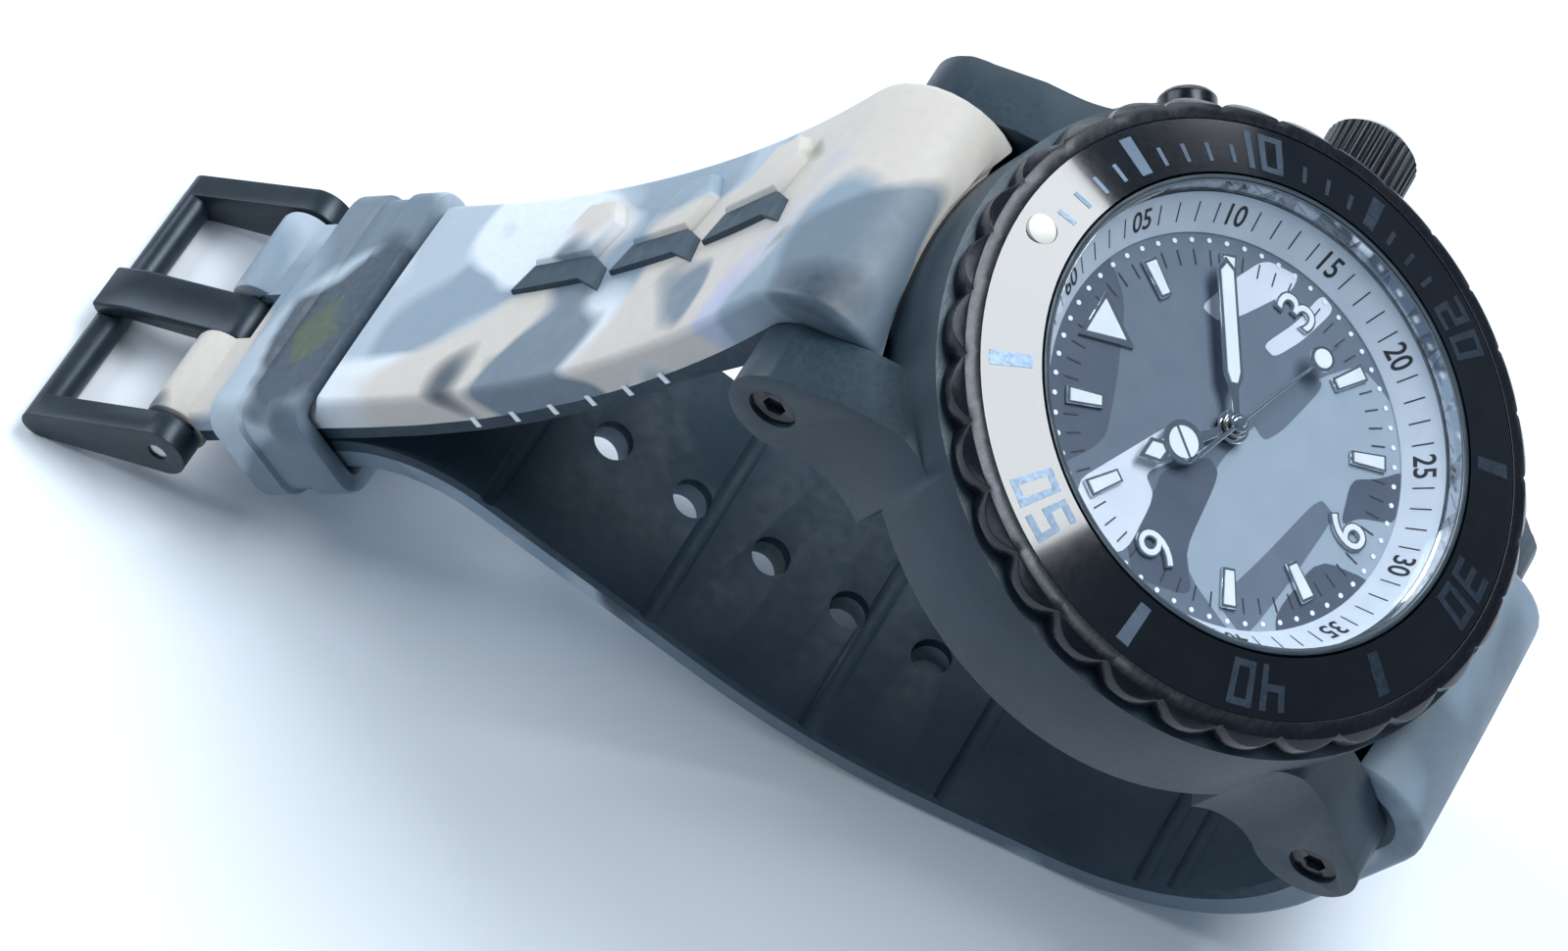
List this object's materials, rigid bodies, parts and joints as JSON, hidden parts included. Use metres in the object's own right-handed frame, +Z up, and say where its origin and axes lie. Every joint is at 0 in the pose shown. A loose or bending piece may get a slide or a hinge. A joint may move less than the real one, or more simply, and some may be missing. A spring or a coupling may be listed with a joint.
{
  "type": "dive watch",
  "caption": "Round dive watch with lobed timing bezel, crown, light pusher, quartz movement and two-layer silicone strap, lying with the strap tail in its keeper.",
  "frame": {"origin": "middle of the whole watch's length and width, at the height of the table it lies on", "axes": "+X from the buckle towards the head, +Y out through the crown, +Z up"},
  "size_m": [0.1164, 0.0542, 0.0622],
  "materials": {
    "case_coating": "satin black-blue coated steel",
    "back_steel": "brushed",
    "clear_crystal": "polished",
    "black_seal": "matte",
    "white_seal": "matte",
    "silver_ring": "satin silver-white",
    "dial_print": "matte camouflage print",
    "lume_marker": "off-white filled markers with bright rims",
    "holder_plastic": "matte",
    "plate_brass": "fine-grained",
    "bright_steel": "polished",
    "spring_steel": "brushed",
    "cell_steel": "brushed",
    "board": "matte",
    "copper_wire": "enamelled winding",
    "lamp": "clear",
    "magnet": "ground",
    "strap_skin": "satin camouflage",
    "strap_lining": "matte",
    "ring_coating": "satin black",
    "insert_gloss": "gloss black",
    "pearl_white": "gloss",
    "buckle_coating": "satin black",
    "hand_white": "polished rims, white fill"
  },
  "bodies": {
    "watch": {"case_middle": "case_coating", "case_back": "back_steel", "case_back_gasket": "black_seal", "crystal": "clear_crystal", "crystal_gasket": "white_seal", "chapter_ring": "silver_ring", "dial": "dial_print", "applied_indices": "lume_marker", "applied_numerals": "lume_marker", "movement_holder": "holder_plastic", "main_plate": "plate_brass", "train_bridge": "plate_brass", "bridge_screws": "spring_steel", "battery_cell": "cell_steel", "circuit_board": "board", "quartz_can": "bright_steel", "motor_coil": "copper_wire", "motor_stator": "spring_steel", "led_lamp": "lamp", "crown_tube": "case_coating", "pusher_tube": "case_coating", "click_spring": "spring_steel", "lug_bars": "spring_steel", "lug_screws": "ring_coating", "strap_12_outer": "strap_skin", "strap_12_liner": "strap_lining", "strap_6_outer": "strap_skin", "strap_6_liner": "strap_lining", "buckle_bar": "spring_steel"},
    "bezel": {"bezel_ring": "ring_coating", "bezel_insert": "insert_gloss", "bezel_pearl": "pearl_white"},
    "crown_slide_body": {"crown_gasket": "black_seal"},
    "crown_body": {"crown": "ring_coating", "crown_stem": "spring_steel"},
    "pusher_body": {"led_pusher": "ring_coating", "pusher_spring": "spring_steel"},
    "seconds_body": {"seconds_hand": "hand_white", "seconds_wheel": "plate_brass"},
    "minute_body": {"minute_hand": "hand_white", "centre_wheel": "plate_brass"},
    "hour_body": {"hour_hand": "hand_white", "hour_wheel": "plate_brass"},
    "third_body": {"third_wheel": "plate_brass"},
    "motion_body": {"motion_wheel": "plate_brass"},
    "fifth_body": {"fifth_wheel": "plate_brass"},
    "rotor_body": {"rotor": "magnet"},
    "keeper_body": {"keeper": "strap_skin"},
    "buckle_body": {"buckle_frame": "buckle_coating"},
    "tongue_body": {"buckle_tongue": "buckle_coating"}
  },
  "joints": [
    {"name": "bezel_turn", "type": "hinge", "parent": "watch", "child": "bezel", "pos_m": [0.03506, -0.0031, 0.04784], "axis": [-0.5, 0, -0.866], "continuous": true},
    {"name": "crown_pull", "type": "slide", "parent": "watch", "child": "crown_slide_body", "axis": [0, 1, 0], "range_m": [0, 0.0012]},
    {"name": "crown_turn", "type": "hinge", "parent": "crown_slide_body", "child": "crown_body", "pos_m": [0.03336, 0.0239, 0.04489], "axis": [0, 1, 0], "continuous": true},
    {"name": "light_push", "type": "slide", "parent": "watch", "child": "pusher_body", "axis": [0.4653, -0.8434, -0.2686], "range_m": [0, 0.0008], "stiffness_N_per_m": 600, "springref_m": -0.001},
    {"name": "seconds_turn", "type": "hinge", "parent": "watch", "child": "seconds_body", "pos_m": [0.03506, -0.0031, 0.04784], "axis": [-0.5, 0, -0.866], "continuous": true},
    {"name": "minute_turn", "type": "hinge", "parent": "watch", "child": "minute_body", "pos_m": [0.03506, -0.0031, 0.04784], "axis": [-0.5, 0, -0.866], "continuous": true},
    {"name": "hour_turn", "type": "hinge", "parent": "watch", "child": "hour_body", "pos_m": [0.03506, -0.0031, 0.04784], "axis": [-0.5, 0, -0.866], "continuous": true},
    {"name": "third_turn", "type": "hinge", "parent": "watch", "child": "third_body", "pos_m": [0.0305, -0.00106, 0.04701], "axis": [-0.5, 0, -0.866], "continuous": true},
    {"name": "motion_turn", "type": "hinge", "parent": "watch", "child": "motion_body", "pos_m": [0.03131, -0.0046, 0.04654], "axis": [-0.5, 0, -0.866], "continuous": true},
    {"name": "fifth_turn", "type": "hinge", "parent": "watch", "child": "fifth_body", "pos_m": [0.03477, -0.00693, 0.04454], "axis": [-0.5, 0, -0.866], "continuous": true},
    {"name": "rotor_turn", "type": "hinge", "parent": "watch", "child": "rotor_body", "pos_m": [0.037, -0.00909, 0.04326], "axis": [-0.5, 0, -0.866], "continuous": true},
    {"name": "keeper_slide", "type": "slide", "parent": "watch", "child": "keeper_body", "axis": [-0.809, 0, -0.5878], "range_m": [0, 0.0026]},
    {"name": "buckle_swing", "type": "hinge", "parent": "watch", "child": "buckle_body", "pos_m": [-0.04547, -0.0031, 0.00546], "axis": [0, 1, 0], "range_deg": [-60, 25]},
    {"name": "tongue_swing", "type": "hinge", "parent": "buckle_body", "child": "tongue_body", "pos_m": [-0.04547, -0.0031, 0.00546], "axis": [0, 1, 0], "range_deg": [0, 70]}
  ],
  "couplings": [
    {"joint": "minute_turn", "follows": "seconds_turn", "ratio": 0.016667},
    {"joint": "hour_turn", "follows": "seconds_turn", "ratio": 0.0013889},
    {"joint": "third_turn", "follows": "seconds_turn", "ratio": -0.13333},
    {"joint": "motion_turn", "follows": "seconds_turn", "ratio": -0.0055556},
    {"joint": "fifth_turn", "follows": "seconds_turn", "ratio": -5},
    {"joint": "rotor_turn", "follows": "seconds_turn", "ratio": 30}
  ]
}
